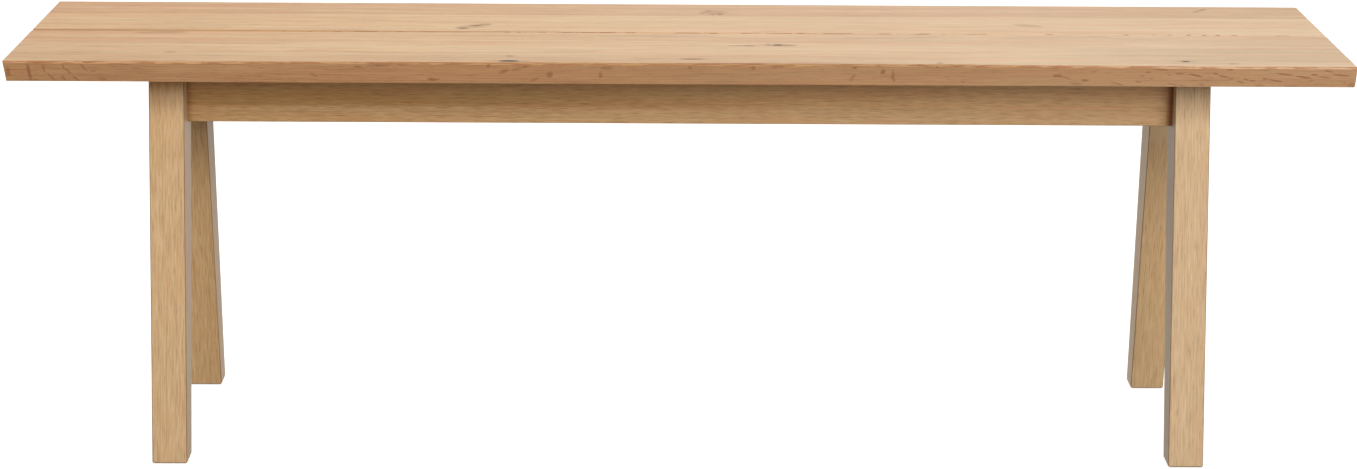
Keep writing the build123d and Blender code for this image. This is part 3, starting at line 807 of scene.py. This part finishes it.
RAY_FLECK = "7F5030"
rim_y = -half_depth + 1.5
ray_flecks = [
    (-743.5, 457, 3, 6, 0, 0.55), (-720.5, 457, 2.6, 12, -8, 0.7), (-704, 462, 1.5, 6, -10, 0.5),
    (-696, 452, 1.7, 8, -45, 0.5), (-682.5, 464, 1.2, 4, -10, 0.6), (-677.5, 459, 1.2, 6, -48, 0.55),
    (-682.5, 450.5, 1.6, 5, -40, 0.6), (-669, 450, 1.7, 6, -55, 0.6), (-660, 463, 1.3, 7, -42, 0.45),
    (-650, 459, 4, 1.6, 15, 0.4), (-640, 450, 6, 2, 10, 0.4), (-601, 462, 9, 1, 4, 0.4),
    (-406, 456, 6, 2, 20, 0.45), (-358, 465.3, 6, 1.3, 0, 0.6), (-334, 467, 16, 1.2, 0, 0.7),
    (-306, 468, 10, 0.9, 0, 0.7), (-274, 451.5, 8, 1.8, 0, 0.8), (-213, 467, 3, 2.6, 0, 0.6),
    (-196, 461, 7, 2, -20, 0.6), (-182, 463.5, 7, 2, -15, 0.35), (-172, 466.5, 5, 2, -5, 0.5),
    (-145, 457.5, 4.4, 4, -35, 0.65), (-162, 452, 7, 2, -25, 0.5), (-89, 457, 2.5, 4.5, 0, 0.6),
    (-82, 465.5, 8, 2, 0, 0.5), (10, 466, 3, 2, 0, 0.55), (80, 466, 3, 2.4, 0, 0.6),
    (108, 467.2, 9, 1.2, 0, 0.6), (190, 455.5, 2.4, 6.5, 32, 0.4), (192, 467.3, 4, 1.4, 0, 0.7),
    (223.5, 462.5, 3.2, 2.8, 0, 0.75), (235, 457, 2.2, 8, -6, 0.6), (283, 468, 2.5, 1.3, 0, 0.7),
    (313, 451.5, 4, 1.4, 0, 0.5), (417, 458.6, 6, 1.9, 4, 0.7), (448, 453.7, 5, 1.9, 6, 0.65),
]
print(len(ray_flecks), "ray flecks")

# %% Open pores of the front rim
open_pores = [
    (413.5, 467.5, 3.4, 0.7, 0, 0.5), (427, 456.6, 4.5, 0.7, 18, 0.5), (438, 449.5, 5, 1.3, 4, 0.35),
    (457.5, 464, 4, 0.7, -8, 0.4), (484, 450, 6.5, 0.7, 11, 0.6), (507, 452.5, 3, 0.7, 10, 0.6),
    (511.5, 459.4, 1.8, 0.7, 0, 0.45), (517.5, 463.3, 2.8, 0.7, 0, 0.7), (521.5, 456, 1.6, 0.7, 0, 0.45),
    (532, 466.5, 7, 0.7, 6, 0.65), (541, 460.3, 1.6, 0.7, 0, 0.5), (544, 450, 5, 0.7, 8, 0.5),
    (552.5, 462, 3.4, 0.7, 0, 0.7), (555, 448.6, 4, 0.7, 0, 0.4), (570.5, 460, 6, 0.7, 12, 0.75),
    (583, 454.5, 1.8, 0.7, 0, 0.4), (578, 449, 2.2, 0.7, 0, 0.5), (592.5, 462, 3.2, 0.7, 14, 0.7),
    (601.5, 459.2, 4.4, 0.7, 10, 0.75), (608, 466.8, 3.2, 0.7, 0, 0.7), (609.5, 456.3, 2.6, 0.7, 8, 0.65),
    (620.5, 452.6, 3.4, 0.7, 10, 0.75), (626.5, 455.8, 2.6, 0.7, 4, 0.65), (634, 454.1, 2.8, 0.7, 4, 0.7),
    (647.5, 456.5, 2.6, 0.7, 5, 0.7), (659, 454.6, 6.4, 0.7, 8, 0.75), (669.5, 461.7, 7.6, 0.7, 7, 0.8),
    (690.5, 458.6, 7.6, 0.7, 8, 0.85), (702, 461.4, 3.4, 0.7, 3, 0.7), (713, 458.6, 6.2, 0.7, 4, 0.5),
    (717.5, 465.5, 4.6, 0.7, 14, 0.7), (732, 461, 8.4, 0.7, 5, 0.75), (699, 454.6, 2.2, 0.7, 0, 0.4),
    (736, 451.6, 1.8, 0.7, 0, 0.45), (645, 466.6, 6, 0.7, 0, 0.4), (642, 448.5, 4.6, 1.6, 0, 0.35),
    (677, 448, 6, 1.6, 0, 0.3), (744, 449, 4, 3, 0, 0.35),
]
print(len(open_pores), "open pores")

# %% Marks of the scraper, and painted shade of the nicks in the groove's rear lip
def on_the_lip(rows):
    """Dark nicks of painted shade in the lip, from rows of x, half length and depth."""
    return [((x, 2.3, 468.3), (long, 2.2, 2.6), (0, 0, 0), depth) for x, long, depth in rows]


scraper_marks = [
    ((-712, -188.5, 468.3), (15, 3, 1.0), (0, 0, 0), 0.5),
    ((-685, -187, 469.3), (19, 1.3, 3), (0, 0, 10), 0.55),
    ((-641, -187, 469.3), (25, 1.3, 3), (0, 0, 6), 0.4),
    ((-590, -187.5, 468.5), (20, 1.5, 3), (0, 0, 5), 0.4),
    ((-361, -186, 470), (8, 2.0, 3), (0, 0, 0), 0.65),
    ((-334, -188.5, 469.5), (19, 2.0, 2), (0, 0, 0), 0.6),
    ((-143.5, -188.5, 469), (5, 2.0, 1.5), (0, 8, 0), 0.6),
    ((218.6, -187, 469.5), (3.5, 2.2, 2), (0, 0, 0), 0.7),
    ((264.5, -184, 469.8), (5.5, 2.2, 2), (0, 0, 0), 0.7),
    ((304, -188.5, 469.4), (4, 2.0, 2), (0, 0, 0), 0.7),
]
painted_nick_shadows = [
    (88, 9, 0.35), (193, 12, 0.5), (284, 10, 0.4), (345, 17, 0.5), (429, 7, 0.55), (519, 4, 0.6),
    (551, 4, 0.4), (569, 5, 0.5), (591, 4, 0.75), (609, 4, 0.7), (625, 4, 0.75), (644, 5, 0.5),
    (700, 12, 0.3),
]
print(len(scraper_marks), "marks of the scraper and", len(painted_nick_shadows), "nicks in the groove")

# %% The four boards of the seat
seat_board = {
    "pith_mm": (310.0, 60.0, 375.0),
    "wander_mm": 12,
    "band_mm": (480, 20),
    "fibre_mm": (130, 6),
    "grit_mm": (30, 1.8),
    "pore_mm": (10, 0.9),  # real ones are 0.3 mm wide, too fine to show, and are drawn coarser
    "blush_mm": (260, 16),
    "band_share": 0.3,
    "fibre_share": 0.6,
    "grit_share": 0.4,
    "ring_share": 0.12,
    "pore_share": 0.25,
    "blush": "FFEDE2",
    "blush_share": 0.6,
}
DARK_OAK, PALE_OAK = "8C6844", "E2C8A0"
# The groove's slope along the bench: browner at the left, partly wood tone and partly painted shade of
# the deep groove
GROOVE_STOPS = [
    (-750, "A57B4F"), (-440, "B28A5D"), (-250, "AA805A"), (0, "C69E78"),
    (80, "C59E78"), (400, "CCAC8A"), (750, "C4A98A"),
]
ARRIS_STOPS = [(-750, "C09268"), (-300, "AB7F4E"), (300, "A67D50"), (560, "C09B76"), (750, "C09E7E")]
stave_recipes = [
    (rear_outer, "B98F66", (310.0, 60.0, 375.0)),
    (rear_inner, "C5A176", (1730.0, 10.0, 350.0)),
    (front_inner, "C09A70", (2570.0, -20.0, 365.0)),
    (front_outer, "C5A379", (4110.0, -130.0, 330.0)),
]
# Towards its ends a board is a little darker or pinker: from, to, and the colour laid on
end_tints = {
    "front_outer": [(350, 600, "F1EFED"), (-450, -620, "F9F8F8")],
    "front_inner": [(560, 680, "FAF8F7"), (-420, -620, "F8F2EF")],
    "rear_inner": [(-450, -620, "FBFAF9")],
    "rear_outer": [(400, 600, "FAF9F3")],
}
print("the boards' middle tones are", [tone for stave, tone, pith_mm in stave_recipes])

# %% Oak for each stave
for stave, tone, pith_mm in stave_recipes:
    board = stave.name.replace("_stave_scraped", "")
    material, tree = new_material("satin_oak_" + board + "_stave")
    figure = oak_figure(tree, {**seat_board, "tones": (DARK_OAK, tone, PALE_OAK), "pith_mm": pith_mm})
    # painted sheen: the right half of the stave paler and cooler
    figure = painted_sheen_to_the_right(tree, figure, 0.18)
    to_the_rim = between(figure, "y", glue_front, -half_depth)
    not_at_the_right = between(figure, "x", 420, 200)
    figure = stain(tree, figure, "EFEAE6", [to_the_rim, not_at_the_right])
    off_the_rim = between(figure, "y", -182, -160)
    for from_mm, to_mm, tint in end_tints[board]:
        endwards = between(figure, "x", from_mm, to_mm)
        figure = stain(tree, figure, tint, [endwards, off_the_rim])
    figure = with_rim(tree, figure, "E8D5C9")
    if board.endswith("outer"):
        figure = with_worked_edge(tree, figure, ARRIS_STOPS, (24, 3), "D2B09A", 0.8)
    else:
        # painted shade: darker dashes low on the groove's slope, where the gap between the boards lies in
        # shadow
        painted_shade_down_the_slope = between(figure, "z", seat_top - 0.3, seat_top - 0.75)
        off_the_left_end = between(figure, "x", -650, -150)
        off_the_right_end = between(figure, "x", 450, 200)
        where = [painted_shade_down_the_slope, off_the_left_end, off_the_right_end]
        figure = with_worked_edge(tree, figure, GROOVE_STOPS, (14, 5), "9A7050", 0.95, where)
    figure = with_marks(tree, figure, on_the_top(top_streaks[board]), BROWN_STREAK)
    figure = with_marks(tree, figure, on_the_top(top_knots[board]), BLACK_KNOT, core=0.75)
    if stave is front_outer:
        flecks, pores = on_the_rim(ray_flecks), on_the_rim(open_pores)
        figure = with_marks(tree, figure, flecks, RAY_FLECK, 1.8, 6.0, core=0.45, grow=1.15)
        figure = with_marks(tree, figure, pores, RAY_FLECK, 0.7, 5.0, core=0.75, grow=1.4)
        figure = with_marks(tree, figure, scraper_marks, "8A5632", 0.5, 6.0)
    if stave is rear_inner:
        # painted shade: dark dashes where the groove's rear lip is nicked
        figure = with_marks(tree, figure, on_the_lip(painted_nick_shadows), "8E6444", 0.5, 6.0)
    satin_lacquer(tree, figure)
    dress(stave, material)
    print(material.name, len(tree.nodes), "nodes")

# %% [markdown]
# ## Legs and rails
# The legs and rails keep their CAD solids, whose sizes, rake and eased edges are right already, and
# get their own boards. A leg's grain runs up its raked middle line, so the pattern is turned twice:
# by the rake, and then from upright to along X. Its sides are a little greyer than its faces, a
# painted reflection of the white studio, and its eased edges darker, a thin line of painted shade.
# Painted shade darkens the tops of the legs on the left under the seat, a painted shadow darkens
# the right front leg's inner side beside the apron, and painted light brightens the rear right leg
# just under the apron. The aprons' grain runs along the bench, and that of the end rails and the
# middle rail runs from front to back. The aprons are glued from two strips, with painted light along
# their top edge, and they darken where they meet the legs, with painted shade and a dark seam.

# %% Oak for the frame
RAIL_TONES = ("7A5630", "C49763", "E2BE90")
leg_board = {
    "wander_mm": 4,
    "band_mm": (260, 9),
    "fibre_mm": (100, 2.0),
    "grit_mm": (36, 1.0),
    "pore_mm": (20, 0.8),  # drawn coarser here too
    "blush_mm": (150, 10),
    "band_share": 0.14,
    "fibre_share": 0.28,
    "grit_share": 0.6,
    "ring_share": 0.06,
    "pore_share": 0.28,
    "blush": "FFEFE6",
    "blush_share": 0.35,
}
rail_board = {
    **leg_board,
    "band_mm": (300, 12),
    "fibre_mm": (75, 2.8),
    "grit_mm": (18, 1.3),
    "band_share": 0.25,
    "fibre_share": 0.35,
    "grit_share": 0.65,
    "blush_share": 0.5,
}
leg_top_depth = 64.0
leg_foot_depth = 38.0
leg_low, leg_high = (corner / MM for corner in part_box("rear_left_leg"))
top_middle_y = leg_low.y + leg_top_depth / 2
foot_middle_y = leg_high.y - leg_foot_depth / 2
leg_rake = math.atan((foot_middle_y - top_middle_y) / (leg_high.z - leg_low.z))
front_rake = (leg_rake, math.pi / 2, 0.0)
rear_rake = (-leg_rake, math.pi / 2, 0.0)
lengthwise = (0.0, 0.0, 0.0)
crosswise = (0.0, 0.0, -math.pi / 2)
frame_recipes = [
    ("front_left_leg", leg_board, ("876246", "CBA87C", "EBD2B0"), front_rake, (0, 150, 40)),
    ("front_right_leg", leg_board, ("826046", "C1A178", "E3CCAC"), front_rake, (3400, 160, -30)),
    ("rear_left_leg", leg_board, ("845E40", "C6A070", "E8CCA2"), rear_rake, (6000, -150, 30)),
    ("rear_right_leg", leg_board, ("8A6243", "CFA976", "F0D6AA"), rear_rake, (9000, 150, -60)),
    ("front_apron", rail_board, RAIL_TONES, lengthwise, (12000, 60, 520)),
    ("rear_apron", rail_board, RAIL_TONES, lengthwise, (15000, -60, 320)),
    ("left_end_rail", rail_board, RAIL_TONES, crosswise, (18000, 80, 320)),
    ("right_end_rail", rail_board, RAIL_TONES, crosswise, (21000, -80, 330)),
    ("middle_rail", rail_board, RAIL_TONES, crosswise, (24000, 60, 300)),
]


def as_leg(tree, figure):
    """A leg's sides get a grey painted reflection and its eased edges a line of painted shade; painted
    light and shade lie near its top.
    """
    facing = add(tree, "SeparateXYZ", {0: add(tree, "NewGeometry").outputs["Normal"]})
    sideways = add(tree, "Math", {0: facing.outputs["X"]}, operation="ABSOLUTE").outputs[0]
    # painted reflection: the sides greyed as if mirroring the white studio at a glancing angle
    figure = wash(tree, figure, "979789", [(sideways, 0.7, 0.95)], 0.18)
    on_the_right = between(figure, "x", 0, 500)
    apron_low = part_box("front_apron")[0]
    # painted shadow on the right front leg's inner side, in the corner beside the apron
    painted_shadow_in_the_corner = [
        (facing.outputs["X"], -0.7, -0.95),
        (figure["z"], apron_low.z - 1 * MM, apron_low.z + 1 * MM),
        (figure["y"], apron_low.y - 18 * MM, apron_low.y - 4 * MM),
        (figure["y"], apron_low.y + 8 * MM, apron_low.y + 2 * MM),
    ]
    figure = stain(tree, figure, "A48260", [*painted_shadow_in_the_corner, on_the_right])
    # painted light: the rear right leg's front face brightened just under the apron
    painted_light_at_the_back, high_up = between(figure, "y", 20, 60), between(figure, "z", 318, 345)
    forwards = (facing.outputs["Y"], -0.8, -0.95)
    figure = wash(tree, figure, "F0D6AA", [painted_light_at_the_back, high_up, forwards, on_the_right], 0.6)
    # painted shade: a thin dark line along the eased edges
    painted_shade_on_the_edge = [(sideways, 0.2, 0.45), (sideways, 0.995, 0.95)]
    figure = stain(tree, figure, "C4B8AC", painted_shade_on_the_edge)
    # painted shadow of the seat on the tops of the legs, deeper to the left
    painted_seat_shadow = between(figure, "z", 416, 432)
    below_the_seat = between(figure, "z", seat_bottom, 438)
    to_the_left = between(figure, "x", 500, -500)
    return stain(tree, figure, "EBE3CF", [painted_seat_shadow, below_the_seat, to_the_left])


def as_glued_apron(tree, figure, strip_top_mm=401.0, joint_mm=1.1):
    """An apron is glued from two strips, the upper darker at its left; painted light lifts its top edge,
    and painted shade darkens it beside the legs, up to a dark seam.
    """
    upper = between(figure, "z", strip_top_mm - 0.8, strip_top_mm + 0.8)
    its_lower_half = between(figure, "z", strip_top_mm + 34, strip_top_mm + 12)
    to_the_left = between(figure, "x", 520, -460)
    figure = stain(tree, figure, "D8D2B8", [upper, its_lower_half, to_the_left], 0.75)
    lower = between(figure, "z", strip_top_mm + 0.8, strip_top_mm - 0.8)
    figure = stain(tree, figure, "F6FAFF", [lower])
    # painted light along the apron's top edge, lifting the seat's shadow
    painted_light_top_edge = between(figure, "z", strip_top_mm + 23, strip_top_mm + 39)
    figure = wash(tree, figure, "F3CB90", [painted_light_top_edge], 0.21)
    from_middle = add(tree, "Math", {0: figure["x"]}, operation="ABSOLUTE").outputs[0]
    end_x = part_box("front_apron")[1].x / MM
    # painted shade on the apron's ends where the legs shadow it, stronger to the right
    painted_shade_beside_leg = (from_middle, (end_x - 8.0) * MM, (end_x - 1.0) * MM)
    more_to_the_right = between(figure, "x", -2.4 * end_x, end_x)
    figure = stain(tree, figure, "B08A68", [painted_shade_beside_leg, more_to_the_right])
    seam = (from_middle, (end_x - 1.6 * joint_mm) * MM, (end_x - 0.4 * joint_mm) * MM)
    return wash(tree, figure, "6C4A28", [seam], 0.3)


for name, board, tones, turn, pith_mm in frame_recipes:
    material, tree = new_material("satin_oak_" + name)
    figure = oak_figure(tree, {**board, "tones": tones, "pith_mm": pith_mm}, turn=turn)
    # painted sheen: the right half of the piece paler and cooler
    figure = painted_sheen_to_the_right(tree, figure, 0.08)
    if name.endswith("apron"):
        figure = as_glued_apron(tree, figure)
    if name.endswith("leg"):
        figure = as_leg(tree, figure)
    satin_lacquer(tree, figure)
    dress(nodes[name], material)
print("frame oak on", len(frame_recipes), "pieces, rake", round(math.degrees(leg_rake), 1))

# %% [markdown]
# ## Beech, plated steel and nylon
# Dowels and biscuits are beech, a pale pinkish wood with fine short flecks and no lacquer. Brackets
# and fasteners are mild steel, zinc plated: a cool grey with a faint cloudy bloom. The glides under
# the feet are moulded nylon, off-white and slightly waxy.

# %% Beech
beech_fleck_mm = (6, 1.2)
beech, tree = new_material("bare_beech")
place = add(tree, "TexCoord").outputs["Object"]
flecks = fibres(tree, place, *beech_fleck_mm)[0]
ramp = add(tree, "ValToRGB", {"Fac": flecks}, stops=[(0.35, "B98F68"), (0.6, "D8B48E")])
surface(tree, {"Base Color": ramp.outputs[0], "Roughness": 0.65})
print(beech.name, "has flecks of", beech_fleck_mm, "mm")

# %% Zinc plate
bloom_mm = 9  # plated steel clouds over in patches of about this size


def zinc_plate(name, pale_hex, dull_hex, smooth, rough):
    """Plated steel: a metal whose colour and roughness cloud over slowly."""
    material, tree = new_material(name)
    place = add(tree, "TexCoord").outputs["Object"]
    bloom = fibres(tree, place, bloom_mm, bloom_mm, detail=4.0)[0]
    tones = {0: bloom, MIX_A: linear(dull_hex), MIX_B: linear(pale_hex)}
    colour = add(tree, "Mix", tones, data_type="RGBA").outputs[MIX_OUT]
    cloud = {"Value": bloom, "From Min": 0.3, "From Max": 0.7}
    roughness = add(tree, "MapRange", {**cloud, "To Min": rough, "To Max": smooth}).outputs[0]
    surface(tree, {"Base Color": colour, "Metallic": 1.0, "Roughness": roughness})
    return material


pressed_zinc = zinc_plate("zinc_plated_pressed_steel", "B9BCBF", "94989C", 0.34, 0.5)
turned_zinc = zinc_plate("zinc_plated_fastener_steel", "C9C9C6", "A3A39E", 0.25, 0.4)
print(pressed_zinc.name, "and", turned_zinc.name)

# %% Nylon
mould_grit_mm = 0.8  # the real grit is too fine to show, and is drawn coarser
nylon_ior = 1.53
nylon, tree = new_material("moulded_nylon")
place = add(tree, "TexCoord").outputs["Object"]
grit = fibres(tree, place, mould_grit_mm, mould_grit_mm)[0]
bump = add(tree, "Bump", {"Height": grit, "Strength": 0.15, "Distance": 0.1 * MM})
tones = {0: grit, MIX_A: linear("D6D1C4"), MIX_B: linear("E4E0D5")}
colour = add(tree, "Mix", tones, data_type="RGBA").outputs[MIX_OUT]
waxy = {"Base Color": colour, "Roughness": 0.5, "IOR": nylon_ior, "Normal": bump.outputs[0]}
surface(tree, waxy)
print(nylon.name, "has a grit of", mould_grit_mm, "mm")

# %% Give them out
hidden_finishes = {
    "beech": beech,
    "bracket_steel": pressed_zinc,
    "fastener_steel": turned_zinc,
    "glide_nylon": nylon,
}
for part in frame["record"]["subparts"]:
    if part["material_slot"] in hidden_finishes:
        dress(nodes[part["node"]], hidden_finishes[part["material_slot"]])
        print(part["node"], "gets", hidden_finishes[part["material_slot"]].name)
